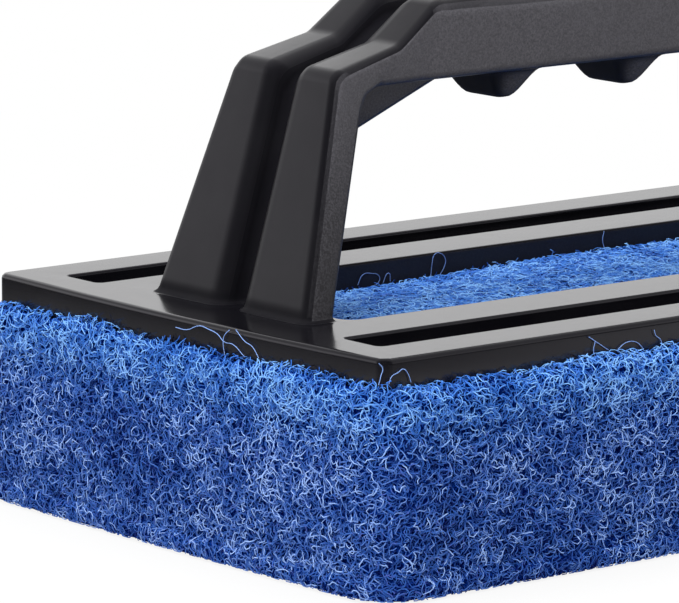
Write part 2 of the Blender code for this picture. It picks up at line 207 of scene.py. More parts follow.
def surfaced(material, feeds):
    """The material with a Principled shader that has these inputs."""
    shader = put(material.node_tree, "ShaderNodeBsdfPrincipled", feeds)
    put(material.node_tree, "ShaderNodeOutputMaterial", {"Surface": shader})
    return material


def object_point(tree):
    """The piece's own coordinates."""
    return put(tree, "ShaderNodeTexCoord").at("Object")


def painted(tree, name):
    """The number that a piece's mesh carries under this name."""
    return put(tree, "ShaderNodeAttribute", attribute_name=name).at("Fac")


def bumped(height, distance, strength):
    """The normal of a surface with this relief."""
    return put(height.tree, "ShaderNodeBump", {"Height": height, "Distance": distance, "Strength": strength})


# Geometry nodes


def node_group(name, inputs, output):
    """A Geometry Nodes tree with these inputs, as kinds and names, and what they give, by name."""
    tree = bpy.data.node_groups.new(name, "GeometryNodeTree")
    tree.is_modifier = True
    for kind, labels in inputs:
        for label in labels:
            tree.interface.new_socket(name=label, in_out="INPUT", socket_type="NodeSocket" + kind)
    tree.interface.new_socket(name=output, in_out="OUTPUT", socket_type="NodeSocketGeometry")
    given = tree.nodes.new("NodeGroupInput")
    return tree, {s.name: Value(tree, s) for s in given.outputs if s.name}


def ended(geometry, material):
    """The tree, ended in one plain mesh of a material."""
    tree = geometry.tree
    whole = put(tree, "GeometryNodeRealizeInstances", {"Geometry": geometry})
    coloured = put(tree, "GeometryNodeSetMaterial", {"Geometry": whole, "Material": material})
    put(tree, "NodeGroupOutput", {0: coloured})
    return tree


def position(tree):
    """Where the points are."""
    return put(tree, "GeometryNodeInputPosition")


def moved(geometry, **where):
    """The geometry with its points at another Position, or moved by an Offset."""
    return put(geometry.tree, "GeometryNodeSetPosition", {"Geometry": geometry, **where})


def smoothed(geometry):
    """The geometry with smooth shading."""
    return put(geometry.tree, "GeometryNodeSetShadeSmooth", {"Geometry": geometry})


def stored(geometry, name, value, domain="POINT", kind="FLOAT"):
    """The geometry with a value stored on it under a name."""
    feeds = {"Geometry": geometry, "Name": name, "Value": value}
    return put(geometry.tree, "GeometryNodeStoreNamedAttribute", feeds, data_type=kind, domain=domain)


def known(tree, name, kind="FLOAT"):
    """The value that was stored under a name."""
    return put(tree, "GeometryNodeInputNamedAttribute", {"Name": name}, data_type=kind)


def summed(value, group, output):
    """The running or the total sum of a vector in each group."""
    feeds = {"Value": value, "Group ID": group}
    return put(value.tree, "GeometryNodeAccumulateField", feeds, data_type="FLOAT_VECTOR").at(output)


# Meshes


def linked(name, data):
    """A new object in the scene."""
    item = bpy.data.objects.new(name, data)
    bpy.context.scene.collection.objects.link(item)
    return item


def new_piece(name, mesh, material=None):
    """A mesh object in the scene, with its material."""
    if material is not None:
        mesh.materials.clear()
        mesh.materials.append(material)
    return linked(name, mesh)


def settle(piece):
    """Turns a piece with its modifiers into a plain mesh."""
    depsgraph = bpy.context.evaluated_depsgraph_get()
    mesh = bpy.data.meshes.new_from_object(
        piece.evaluated_get(depsgraph), preserve_all_data_layers=True, depsgraph=depsgraph
    )
    mesh.name = piece.name
    piece.modifiers.clear()
    old = piece.data
    piece.data = mesh
    bpy.data.meshes.remove(old)


def grow(piece, tree, **inputs):
    """Runs a Geometry Nodes tree on a piece with the named inputs, and keeps the result as a plain mesh."""
    modifier = piece.modifiers.new(tree.name, "NODES")
    modifier.node_group = tree
    names = {s.name: s.identifier for s in tree.interface.items_tree if s.in_out == "INPUT"}
    for name, value in inputs.items():
        modifier[names[name.replace("_", " ").title()]] = value
    piece.update_tag()
    settle(piece)
    if not piece.data.polygons:
        raise RuntimeError(f"{piece.name} came out empty")


def worked(work, mesh):
    """The mesh with the bmesh work put into it."""
    work.to_mesh(mesh)
    work.free()
    return mesh


def merged_copy(node):
    """A copy of a CAD node's mesh with its loose triangles joined."""
    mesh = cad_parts[node].data.copy()
    work = bmesh.new()
    work.from_mesh(mesh)
    bmesh.ops.remove_doubles(work, verts=work.verts, dist=1e-6)
    worked(work, mesh).materials.clear()
    return mesh


def triples(items, name):
    """A vector of each of a mesh's items, in rows of three."""
    values = np.empty(len(items) * 3, np.float32)
    items.foreach_get(name, values)
    return values.reshape(-1, 3)


def steps(value, low, high):
    """0 below low, 1 above high and smooth between, for arrays."""
    share = np.clip((value - low) / (high - low), 0.0, 1.0)
    return share * share * (3.0 - 2.0 * share)


# Settings

Colour = partial(FloatVectorProperty, subtype="COLOR", size=3)
Distance = partial(FloatProperty, subtype="DISTANCE", unit="LENGTH")
Angle = partial(FloatProperty, subtype="ANGLE", unit="ROTATION")
Share = partial(FloatProperty, subtype="FACTOR")


class MouldingSettings(PropertyGroup):
    """Finish of the black moulding."""

    plastic: Colour(name="Plastic", description="Colour of the moulding", default=(0.0036, 0.0034, 0.005))
    plate_roughness: Share(name="Plate Roughness", description="Gloss of the base frame", default=0.17)
    rail_roughness: Share(name="Rail Roughness", description="Gloss of the bow's rails", default=0.42)
    grain_roughness: Share(name="Grain Roughness", description="Gloss of the grained sides", default=0.58)
    grain_size: Distance(name="Grain Size", description="Grain of the bow's sides", default=0.3 * MM)


class TapeSettings(PropertyGroup):
    """Hook tape under the rails."""

    rows: IntProperty(name="Rows", description="Rows of hooks across the tape", default=6)
    pitch: Distance(name="Pitch", description="From hook to hook along a row", default=2.0 * MM)
    nylon: Colour(name="Nylon", description="Colour of the hook tape", default=(0.022, 0.022, 0.024))


class PadSettings(PropertyGroup):
    """Curled fibres of the pad."""

    fibre_length: Distance(name="Fibre Length", description="Length of a fibre that shows", default=3.5 * MM)
    fibre_thickness: Distance(name="Fibre Thickness", description="Thickness of a fibre", default=0.16 * MM)
    curl: Angle(name="Curl", description="How far a fibre turns to and fro", default=12.0)
    curl_length: Distance(name="Curl Length", description="Length over which a fibre turns", default=2.0 * MM)
    fibres_per_mm2: FloatProperty(
        name="Fibres per mm2", description="Fibres that start on a square millimetre of a side", default=2.8
    )
    seed: IntProperty(name="Seed", description="Start of everything random in the pad", default=7)
    shade: Colour(name="Shade", description="Darkest fibres", default=(0.0003, 0.008, 0.12))
    body: Colour(name="Body", description="Most of the fibres", default=(0.033, 0.115, 0.45))
    light: Colour(name="Light", description="Palest fibres", default=(0.3, 0.46, 0.86))
    # Top Body and Top Light are painted light: the colours of the fibres near the top, lighter and more azure
    # as if lit from above
    top_body: Colour(name="Top Body", description="Most fibres near the top", default=(0.034, 0.163, 0.61))
    top_light: Colour(name="Top Light", description="Palest fibres near the top", default=(0.2, 0.44, 0.87))


class StageSettings(PropertyGroup):
    """Camera, floor and light."""

    camera_place: FloatVectorProperty(
        name="Camera Place",
        description="Where the camera stands",
        subtype="TRANSLATION",
        unit="LENGTH",
        size=3,
        default=(-0.55878, -0.62564, 0.17532),
    )
    azimuth: Angle(name="Azimuth", description="Camera's turn to the side", default=math.radians(-38.998))
    elevation: Angle(name="Elevation", description="Camera's angle downwards", default=math.radians(10.081))
    roll: Angle(name="Roll", description="Camera's tilt", default=math.radians(0.131))
    lens: FloatProperty(name="Lens", description="Focal length in millimetres", default=298.9)
    floor_white: Share(name="Floor White", description="Part of the floor that shows white", default=0.88)
    sky: FloatProperty(name="Sky", description="Strength of the light from all round", default=0.3)
    room: FloatProperty(name="Room", description="Brightness of the room on the camera's side", default=0.25)


# Moulding

GRAIN_MIDDLE = 0.52
GRAIN_DARK = (0.032, 0.031, 0.035, 1.0)
GRAIN_PALE = (0.082, 0.08, 0.09, 1.0)
FLOW_PALE = (0.0052, 0.005, 0.0066, 1.0)
MATT_ROUGHNESS = 0.45
RAIL_POLISH = 0.45
PLATE_POLISH = 0.1
WINDOW_GRAIN = 0.2
SHARP_ANGLE = math.radians(34)


def moulding_material(look):
    """Black plastic: glossy on the plate, satin on the rails and finely grained on the bow's sides."""
    material, tree = new_material("black_moulding")
    point = object_point(tree)
    height = point.xyz()[2]
    grained = painted(tree, GRAIN)
    on_bow = height.spread(PLATE_TOP + 0.02 * MM, PLATE_TOP + 0.15 * MM)
    speckle = point.noise(look.grain_size, detail=3.0, roughness=0.62)
    flow = point.noise(9.0 * MM, detail=3.0)
    smear = point.noise(2.2 * MM, detail=4.0, roughness=0.6)

    contrast = height.spread(45.0 * MM, 66.0 * MM, 1.0, 0.5)
    dots = (speckle - GRAIN_MIDDLE) * contrast + GRAIN_MIDDLE
    pale = dots.spread(0.35, 0.7).blend(GRAIN_DARK, GRAIN_PALE)
    # Painted shade: the grain darker towards the bottom of the bow and lighter towards the grip, as the light
    # falls
    pale = pale.scaled(height.spread(38.0 * MM, 70.0 * MM, 0.65, 1.25))
    tinted = flow.spread(0.35, 0.7).blend(colour(look.plastic), FLOW_PALE)

    satin = smear.varied(look.rail_roughness, 0.07)
    gloss = smear.varied(look.plate_roughness, 0.08)
    rough = speckle.varied(look.grain_roughness, 0.2)
    whole = on_bow.blend(gloss, grained.blend(satin, rough, "FLOAT"), "FLOAT")
    fillet = on_bow * height.spread(PLATE_TOP + MM, PLATE_TOP + 2.5 * MM, 0.35, 0.0)
    dull = painted(tree, MATT) * MATT_ROUGHNESS + fillet
    relief = speckle * grained + smear * 0.08
    feeds = {
        "Base Color": grained.blend(tinted, pale),
        "Roughness": whole.maths("ADD", dull, clamp=True),
        "Normal": bumped(relief, 0.06 * MM, 0.6),
        "Coat Weight": painted(tree, POLISH),
        "Coat Roughness": 0.1,
        "Specular Tint": (0.95, 0.92, 1.0, 1.0),
        "IOR": 1.52,
    }
    return surfaced(material, feeds)


def in_window(place):
    """Whether a place lies in the plate's window or at its edge."""
    return abs(place.x) < WINDOW_HALF_LENGTH + MM and abs(place.y) < WINDOW_HALF_WIDTH + MM


def mark_finish(mesh):
    """Stores where the mould is grained, polished and matt: bow's sides, upward faces, hollows."""
    _, across, level = triples(mesh.corner_normals, "vector").T
    finish = {name: np.zeros(len(mesh.loops), np.float32) for name in (GRAIN, POLISH, MATT)}
    for face in mesh.polygons:
        corners = slice(face.loop_start, face.loop_start + face.loop_total)
        off_x, off_y, height = abs(face.center.x), abs(face.center.y), face.center.z
        sideways = min(1.0, max(0.0, (abs(face.normal.y) - 0.75) / 0.2))
        on_ridge = off_x < RIDGES_HALF and height < GRIP_BOTTOM + 0.1 * MM
        if height > PLATE_TOP + 0.5 * MM:
            if on_ridge or off_y < GROOVE_WALL:
                finish[MATT][corners] = 1.0
                finish[GRAIN][corners] = steps(across[corners] ** 2, 0.1, 0.5) if on_ridge else 0.0
            elif off_y > GROOVE_EDGE:
                grained = off_y > GRIP_SIDE or height < GRIP_BOTTOM
                finish[GRAIN][corners] = sideways if grained else 0.0
                finish[POLISH][corners] = RAIL_POLISH * steps(level[corners], 0.8, 0.98)
        elif abs(height - PLATE_TOP) < 0.3 * MM and face.normal.z > 0.9:
            finish[POLISH][corners] = PLATE_POLISH
        elif sideways > 0.5 and in_window(face.center):
            finish[MATT][corners] = 1.0
            finish[GRAIN][corners] = WINDOW_GRAIN
    for name, values in finish.items():
        mesh.attributes.new(name, "FLOAT", "CORNER").data.foreach_set("value", values)


class SCRUBBER_OT_bow_frame(Operator):
    """Makes the one-piece moulding, smooth over its fillets"""

    bl_idname = "scrubber.bow_frame"
    bl_label = "Bow Frame"

    def execute(self, context):
        mesh = merged_copy("handle_frame")
        mesh.shade_smooth()
        mesh.set_sharp_from_angle(angle=SHARP_ANGLE)
        mark_finish(mesh)
        piece = new_piece("bow_frame", mesh, moulding_material(context.scene.scrubber_moulding))
        piece.modifiers.new("even_normals", "WEIGHTED_NORMAL").keep_sharp = True
        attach(piece, "frame")
        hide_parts("handle_frame")
        return {"FINISHED"}


# Fibres of the pad

FIBRE_SHAPE = ("Density", "Length", "Thickness", "Curl", "Curl Length", "Rise", "Arch", "Depth", "Tone")
FIBRE_LIMITS = ("Floor", "Ceiling", "Nearest X", "Farthest X", "Nearest Y", "Farthest Y")
FIBRE_INPUTS = (
    ("Geometry", ("Surface",)),
    ("Float", FIBRE_SHAPE + FIBRE_LIMITS),
    ("Int", ("Points", "Seed")),
    ("Material", ("Material",)),
)
FIBRE_SHAPES = 160
FIBRE_CORNERS = 3
SHAPE_GAP = 7.31
SEED_GAP = 3.17
MOST_TRIANGLES = 180000
# What a fibre's tone comes from: its layer, as painted shade on the deeper fibres; its own chance; its
# height, as painted light on the fibres near the top; a pale few; and patches and tufts
LAYER_SHADE = 0.6
OWN_TONE = (-0.19, 0.33)
TOP_LIT_TONE = 0.11
TOP_LIT_START = 17.0 * MM
TOP_LIT_FULL = 28.0 * MM
PLAIN_SHARE = 0.85
PALE_TONE = 0.22
LUMPS = ((13.0 * MM, 0.75), (3.2 * MM, 0.65))
# Painted light and shade along each fibre: paler where it stands out from the pad, darker where it dips in
CREST_LIGHT_PER_METRE = 480.0


def curled_shapes(tree, given):
    """Fibres of the same length that wander to and fro, each as an instance."""
    points = given["Points"]
    line = put(tree, "GeometryNodeCurvePrimitiveLine")
    plain = put(tree, "GeometryNodeResampleCurve", {"Curve": line, "Count": points})
    feeds = {"Geometry": plain, "Amount": FIBRE_SHAPES}
    copies = put(tree, "GeometryNodeDuplicateElements", feeds, domain="SPLINE")
    place = put(tree, "GeometryNodeCurveOfPoint")
    which, step = place.at("Curve Index"), place.at("Index in Curve")
    pace = given["Length"] / (points - 1.0)
    row = which * SHAPE_GAP + given["Seed"] * SEED_GAP
    feeds = {"Vector": together(step * pace / given["Curl Length"], row), "Scale": 1.0, "Detail": 1.0}
    turn, lift, _ = put(tree, "ShaderNodeTexNoise", feeds).at("Color").xyz()
    heading = (turn - 0.5) * given["Curl"]
    share = put(tree, "GeometryNodeSplineParameter").at("Factor")
    climb = (share * math.pi).maths("COSINE") * given["Arch"] + (lift - 0.5) * given["Rise"]
    level = climb.maths("COSINE")
    way = together(heading.maths("COSINE") * level, heading.maths("SINE") * level, climb.maths("SINE"))
    walked = moved(copies, Position=summed(way.scaled(pace), which, "Trailing"))
    here = position(tree)
    middle = summed(here, which, "Total").scaled(1.0 / points)
    centred = moved(walked, Position=here.vectors("SUBTRACT", middle))
    number = put(tree, "GeometryNodeInputIndex")
    feeds = {"Geometry": stored(centred, HEIGHT, here.xyz()[2]), "Group ID": number}
    return put(tree, "GeometryNodeSplitToInstances", feeds, domain="CURVE")


def fallen_back(y, half_y, bow):
    """How far a bowed end lies behind its middle, at a place across it."""
    off_middle = y / half_y
    return off_middle * off_middle * bow


def within_foot(x, y, z):
    """Where a fibre's point lies in plan, pulled in if it stands too far out of the pad, most at its foot."""
    end = PAD_HIGH.x - PAD_CORNER - fallen_back(y, PAD_HIGH.y, PAD_END_BOW)
    plan = together(x, y)
    size = plan.vectors("ABSOLUTE")
    past = size.vectors("SUBTRACT", together(end, PAD_HIGH.y - PAD_CORNER))
    past = past.vectors("MAXIMUM", (0.0, 0.0, 0.0))
    room = z.spread(0.3 * MM, 3.5 * MM, PAD_CORNER - 0.25 * MM, PAD_CORNER + 1.2 * MM)
    share = room / past.vectors("LENGTH").maths("MAXIMUM", room)
    kept = size.vectors("SUBTRACT", past.scaled(1.0 - share))
    return kept.vectors("MULTIPLY", plan.vectors("SIGN")).xyz()[:2]


def kept_clear(given, curves):
    """Moves the fibres' points off the floor, into the pad's outline and out of the plate."""
    x, y, z = position(curves.tree).xyz()
    level = z.maths("MAXIMUM", given["Floor"]).maths("MINIMUM", given["Ceiling"])
    x, y = within_foot(x, y, level)
    beside = level.maths("GREATER_THAN", PLATE_BOTTOM - 0.3 * MM)
    nearest_x = given["Nearest X"] - fallen_back(y, FRAME_HIGH.y, PLATE_END_BOW)

    def held(value, nearest, farthest):
        kept = value.maths("ABSOLUTE").maths("MAXIMUM", nearest).maths("MINIMUM", farthest)
        return value.maths("SIGN") * kept

    free_x = held(x, nearest_x, given["Farthest X"])
    free_y = held(y, given["Nearest Y"], given["Farthest Y"])
    free = together(free_x, free_y, level)
    return moved(curves, Position=beside.blend(together(x, y, level), free, "VECTOR"))


def fibre_tree():
    """Geometry Nodes that cover a surface with curled fibres."""
    tree, given = node_group("curled_fibres", FIBRE_INPUTS, "Fibres")

    def chance(low, high, salt, kind="FLOAT"):
        feeds = {"Min": low, "Max": high, "Seed": given["Seed"] + float(salt)}
        return put(tree, "FunctionNodeRandomValue", feeds, data_type=kind)

    feeds = {"Mesh": given["Surface"], "Density": given["Density"], "Seed": given["Seed"]}
    starts = put(tree, "GeometryNodeDistributePointsOnFaces", feeds)
    layer, outward = chance(0.0, 1.0, 11), starts.at("Normal")
    raised = moved(starts, Offset=outward.scaled(layer * given["Depth"]))
    facing = known(tree, FACING, "FLOAT_VECTOR")
    upright = put(tree, "FunctionNodeAlignRotationToVector", {"Vector": facing}, axis="Z")
    feeds = {"Axis": (0, 0, 1), "Angle": chance(0.0, math.tau, 23)}
    feeds = {"Rotation": upright, "Rotate By": put(tree, "FunctionNodeAxisAngleToRotation", feeds)}
    turned = put(tree, "FunctionNodeRotateRotation", feeds, rotation_space="LOCAL")
    feeds = {
        "Points": stored(raised, FACING, outward, kind="FLOAT_VECTOR"),
        "Instance": curled_shapes(tree, given),
        "Pick Instance": True,
        "Instance Index": chance(0, FIBRE_SHAPES - 1, 31, "INT"),
        "Rotation": turned,
        "Scale": chance(0.75, 1.2, 43),
    }
    fibres = put(tree, "GeometryNodeInstanceOnPoints", feeds)

    here = position(tree)
    # Painted light: the higher a fibre stands on the pad, the lighter its tone and the more it takes the top
    # colours
    high = here.xyz()[2].spread(TOP_LIT_START, TOP_LIT_FULL)
    pale = chance(0.0, 1.0, 71).maths("GREATER_THAN", PLAIN_SHARE)
    patches, tufts = ((here.noise(size, detail=1.0) - 0.5) * amount for size, amount in LUMPS)
    # Painted shade: a fibre that starts deeper in the pad gets a darker tone
    own = layer * LAYER_SHADE + chance(*OWN_TONE, 57) + given["Tone"] + high * TOP_LIT_TONE + pale * PALE_TONE
    fibres = stored(fibres, TONE, own + (patches + tufts), "INSTANCE")
    fibres = stored(fibres, TOP_LIT, high, "INSTANCE")
    fibres = stored(fibres, FACING, facing, "INSTANCE", "FLOAT_VECTOR")

    loose = put(tree, "GeometryNodeRealizeInstances", {"Geometry": fibres})
    feeds = {"Curve": kept_clear(given, loose), "Normal": facing}
    curves = put(tree, "GeometryNodeSetCurveNormal", feeds, mode="FREE")
    arc = {"Start Angle": -math.pi / 2, "Sweep Angle": math.pi, "Resolution": FIBRE_CORNERS}
    profile = put(tree, "GeometryNodeCurveArc", {**arc, "Radius": given["Thickness"] * 0.5})
    tubes = put(tree, "GeometryNodeCurveToMesh", {"Curve": curves, "Profile Curve": profile})
    # Painted highlight on each fibre's crests and painted shade at its roots
    tone = known(tree, HEIGHT).maths("MULTIPLY_ADD", CREST_LIGHT_PER_METRE, known(tree, TONE), clamp=True)
    smooth = smoothed(stored(tubes, TONE, tone))
    corner = put(tree, "GeometryNodeInputIndex").maths("MODULO", float(FIBRE_CORNERS))
    across = corner * 0.008 + (known(tree, TONE) * 0.96 + 0.01)
    spot = together(across, known(tree, TOP_LIT) * 0.96 + 0.02)
    return ended(stored(smooth, BAKE_MAP, spot, "CORNER", "FLOAT2"), given["Material"])


def between(first, second, share):
    """A colour that is so far from the first to the second."""
    return tuple((1.0 - share) * a + share * b for a, b in zip(first, second))


def tone_ramp(tone, shade, body, light):
    """Colours from the darkest to the palest fibres, with a violet few among the middle ones."""
    ramp = put(tone.tree, "ShaderNodeValToRGB", {0: tone})
    stops = ramp.socket.node.color_ramp.elements
    tones = (
        (0.0, shade),
        (0.25, between(shade, body, 0.45)),
        (0.5, body),
        (0.53, (2.0 * body[0], 0.9 * body[1], 0.9 * body[2])),
        (0.56, body),
        (0.72, between(body, light, 0.18)),
        (0.86, between(body, light, 0.45)),
        (1.0, light),
    )
    while len(stops) < len(tones):
        stops.new(0.5)
    for stop, (place, blue) in zip(stops, tones):
        stop.position = place
        stop.color = colour(blue)
    return ramp


def fibre_material(look):
    """Curled fibres, each in its own tone of blue, with painted light near the top: lighter and more azure
    there, as if lit from above.
    """
    material, tree = new_material("curled_fibre")
    tone = painted(tree, TONE)
    low_tones = tone_ramp(tone, look.shade, look.body, look.light)
    top_lit_tones = tone_ramp(tone, look.shade, look.top_body, look.top_light)
    blue = painted(tree, TOP_LIT).blend(low_tones, top_lit_tones)
    return surfaced(material, {"Base Color": blue, "Roughness": 0.45, "Specular IOR Level": 0.12})


# Body of the pad

CORE_VOXEL = 1.0 * MM
CORE_INSET = 1.1 * MM
CORE_LEVEL = 0.15 * MM
FOOT_INSET = 0.5 * MM
LUMP_SIZE = 3.0 * MM
LUMP_HEIGHT = 0.8 * MM
SWELL = 29.3 * MM
SWELL_EXTRA = 0.9 * MM
RIM_TOP = 28.8 * MM
RIM_END_EXTRA = 0.6 * MM
RIM_WAVE = 0.25 * MM
RIM_SHOULDER = 1.3 * MM
RIM_LIP = 0.2 * MM
RIM_FOOT = 23.0 * MM
RIM_OVERLAP = 1.6 * MM
RIM_BED = PAD_TOP - 0.5 * MM
RIM_GAP = 0.35 * MM
RIM_INSET = 1.05 * MM
FOOT_EDGE = 0.5 * MM
FOOT_TOP = 3.0 * MM
FOOT_LEVEL = 0.15 * MM
BAND_STEP = 1.5 * MM
BAND_TUCK = 0.9 * MM
CORNER_STEPS = 6
# Painted shade: the core's deep tones are the dark navy of the shade in the gaps between the fibres; the
# thread tones are its paler lines
GAP_SHADE_TONES = ((0.0003, 0.005, 0.07, 1.0), (0.0004, 0.007, 0.1, 1.0))
THREAD_TONES = ((0.003, 0.03, 0.25, 1.0), (0.005, 0.044, 0.33, 1.0))
MATTING_INPUTS = (
    ("Geometry", ("Surface",)),
    ("Float", ("Lump Size", "Lump Height")),
    ("Material", ("Material",)),
)
# Where the rim stands higher or lower beside the plate: x, y, extra height and reach in millimetres
TUFTS = (
    (-82, -46, 0.5, 5),
    (-57, -46, -0.6, 5),
    (-42, -46, 0.7, 6),
    (8, -46, -0.5, 8),
    (48, -46, 0.8, 9),
    (-83, 36, -0.5, 8),
    (-83, 47, -1.3, 6),
    (-40, 46, 0.7, 10),
    (20, 46, -0.6, 8),
    (62, 46, 0.9, 7),
    (83, -15, 0.8, 9),
    (83, 25, -0.5, 8),
)


def thread_lines(point, size, width, distortion):
    """Where a noise crosses its middle: thin wandering lines, like matted threads."""
    wave = point.noise(size, detail=1.0, distortion=distortion)
    return (wave - 0.5).maths("ABSOLUTE").spread(0.0, width, 1.0, 0.0)


def core_material():
    """The matted inside of the pad, seen between the fibres, in a dark navy that is painted shade for the
    gaps between them, with paler thread lines.
    """
    material, tree = new_material("matted_core")
    point = object_point(tree)
    fine = thread_lines(point, 0.9 * MM, 0.07, 0.6)
    coarse = thread_lines(point.vectors("ADD", (0.031, 0.017, 0.023)), 1.3 * MM, 0.05, 0.4)
    threads = fine.maths("MAXIMUM", coarse)
    patch = point.noise(9.0 * MM).spread(0.35, 0.65)
    feeds = {
        "Base Color": threads.blend(patch.blend(*GAP_SHADE_TONES), patch.blend(*THREAD_TONES)),
        "Roughness": 0.8,
        "Specular IOR Level": 0.0,
        "Normal": bumped(threads, 0.3 * MM, 0.7),
    }
    return surfaced(material, feeds)


def matting_tree():
    """Geometry Nodes that make a smooth surface lumpy."""
    tree, given = node_group("matted_surface", MATTING_INPUTS, "Matted")
    scale = 1.0 / given["Lump Size"]
    feeds = {"Vector": position(tree), "Scale": scale, "Detail": 3.0, "Roughness": 0.65}
    height = (put(tree, "ShaderNodeTexNoise", feeds) - 0.5) * given["Lump Height"]
    lumpy = moved(given["Surface"], Offset=put(tree, "GeometryNodeInputNormal").scaled(height))
    return ended(smoothed(lumpy), given["Material"])


def beyond_plate(x, y):
    """How far a point lies outside the plate's outline, whose ends are bowed."""
    end = FRAME_HIGH.x - PLATE_END_BOW * (y / FRAME_HIGH.y) ** 2
    return max(abs(y) - FRAME_HIGH.y, abs(x) - end)


def room_to_side(x, y):
    """How far a point lies inside the pad's outline."""
    end = PAD_HIGH.x - PAD_END_BOW * (y / PAD_HIGH.y) ** 2
    past_x, past_y = abs(x) - end + PAD_CORNER, abs(y) - PAD_HIGH.y + PAD_CORNER
    return PAD_CORNER - math.hypot(max(past_x, 0.0), max(past_y, 0.0)) - min(max(past_x, past_y), 0.0)


def rim_height(x, y):
    """Height of the rim beside the plate's walls, more in some places than in others."""
    height = RIM_TOP + RIM_WAVE * math.sin(x / (5.1 * MM) + y / (3.7 * MM))
    height += RIM_END_EXTRA * float(steps(abs(x), 79.0 * MM, 82.0 * MM))
    for tuft in TUFTS:
        place_x, place_y, extra, reach = (value * MM for value in tuft)
        height += extra * math.exp(-((x - place_x) ** 2 + (y - place_y) ** 2) / reach**2)
    return height


def bowed_outline(half_x, half_y, corner, bow):
    """Places round a rounded oblong whose ends are bowed, with their outward directions."""
    inner_x, inner_y = half_x - bow - corner, half_y - corner
    outline = []
    for quarter, (side_x, side_y) in enumerate(((1, 1), (-1, 1), (-1, -1), (1, -1))):
        for step in range(CORNER_STEPS + 1):
            angle = math.radians(90 * quarter + 90 * step / CORNER_STEPS)
            way = Vector((math.cos(angle), math.sin(angle)))
            outline.append((Vector((side_x * inner_x, side_y * inner_y)) + corner * way, way))
        run = 2 * (inner_x if quarter % 2 == 0 else inner_y)
        along = Vector((-way.y, way.x))
        count = round(run / BAND_STEP)
        start = outline[-1][0]
        outline += [(start + along * run * step / count, way) for step in range(1, count)]
    bowed = []
    for place, way in outline:
        out_by = bow * (1 - (place.y / half_y) ** 2) * place.x / (half_x - bow)
        bowed.append((place + Vector((out_by, 0.0)), way))
    return bowed


def band_mesh(name, columns):
    """A closed band through columns of places and heights, each from its foot outwards and up."""
    rows = len(columns[0])
    places = [(spot.x, spot.y, height) for column in columns for spot, height in column]
    faces = []
    for number in range(len(columns)):
        here, after = rows * number, rows * ((number + 1) % len(columns))
        faces += [(here + k, after + k, after + k + 1, here + k + 1) for k in range(rows - 1)]
    mesh = bpy.data.meshes.new(name)
    mesh.from_pydata(places, [], faces)
    return mesh


def rim_mesh():
    """The pad's rim that stands up beside the plate's walls."""
    columns = []
    for place, way in bowed_outline(FRAME_HIGH.x, FRAME_HIGH.y, PLATE_CORNER, PLATE_END_BOW):
        inner = place + way * RIM_GAP
        outer = place + way * (room_to_side(place.x, place.y) - RIM_INSET)
        top = rim_height(place.x, place.y)
        tucked = ((outer - way * BAND_TUCK, RIM_FOOT), (outer, RIM_FOOT + BAND_TUCK))
        crest = ((outer, top - RIM_SHOULDER), (inner.lerp(outer, 0.55), top))
        wall = ((inner, top - RIM_LIP), (inner, RIM_BED), (inner, RIM_FOOT))
        columns.append((*tucked, *crest, *wall))
    return band_mesh("rim", columns)


def foot_mesh():
    """The pad's cut lower edge, which stays straight."""
    columns = []
    for place, way in bowed_outline(PAD_HIGH.x, PAD_HIGH.y, PAD_CORNER, PAD_END_BOW):
        inner, edge = place - way * FOOT_TOP, place - way * FOOT_EDGE
        wall = ((edge, FOOT_LEVEL), (edge, FOOT_TOP / 3), (edge, FOOT_TOP - BAND_TUCK))
        columns.append(((inner, FOOT_LEVEL), *wall, (edge - way * BAND_TUCK, FOOT_TOP)))
    return band_mesh("foot", columns)


def core_piece():
    """The pad's body a little inside its CAD solid, in even faces, full in the plate's window."""
    piece = new_piece("pad_core", merged_copy("scrub_pad"))
    remesh = piece.modifiers.new("even_faces", "REMESH")
    remesh.mode = "VOXEL"
    remesh.voxel_size = CORE_VOXEL
    settle(piece)
    mesh = piece.data
    places, normals = triples(mesh.vertices, "co"), triples(mesh.vertex_normals, "vector")
    inset = FOOT_INSET + (CORE_INSET - FOOT_INSET) * steps(places[:, 2], 1.0 * MM, 5.0 * MM)
    places -= inset[:, None] * normals
    x, y, z = places.T
    inside = steps(WINDOW_HALF_WIDTH - np.abs(y), 0.5 * MM, 1.4 * MM)
    inside = inside * steps(WINDOW_HALF_LENGTH - np.abs(x), 0.5 * MM, 1.4 * MM)
    inside = inside * steps(z, 23.0 * MM, 25.0 * MM)
    swell = SWELL + SWELL_EXTRA * steps(x, -40.0 * MM, 5.0 * MM) * steps(-x, -75.0 * MM, -35.0 * MM)
    places[:, 2] = np.maximum(z + inside * np.maximum(swell - z, 0.0), CORE_LEVEL)
    mesh.vertices.foreach_set("co", places.ravel())
    mesh.update()
    return piece


class SCRUBBER_OT_pad_core(Operator):
    """Makes the matted body of the pad"""

    bl_idname = "scrubber.pad_core"
    bl_label = "Pad Core"

    def execute(self, context):
        piece = core_piece()
        work = bmesh.new()
        work.from_mesh(piece.data)
        for band in (rim_mesh(), foot_mesh()):
            work.from_mesh(band)
            bpy.data.meshes.remove(band)
        worked(work, piece.data)
        grow(piece, matting_tree(), lump_size=LUMP_SIZE, lump_height=LUMP_HEIGHT, material=core_material())
        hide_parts("scrub_pad")
        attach(piece, "pad")
        return {"FINISHED"}


# Regions of the pad

FAR_AWAY = 1.0
WALL_GAP = 0.3 * MM
FIBRE_FLOOR = 0.1 * MM
COVERED_EDGE = 1.0 * MM
SEEDS_APART = 100
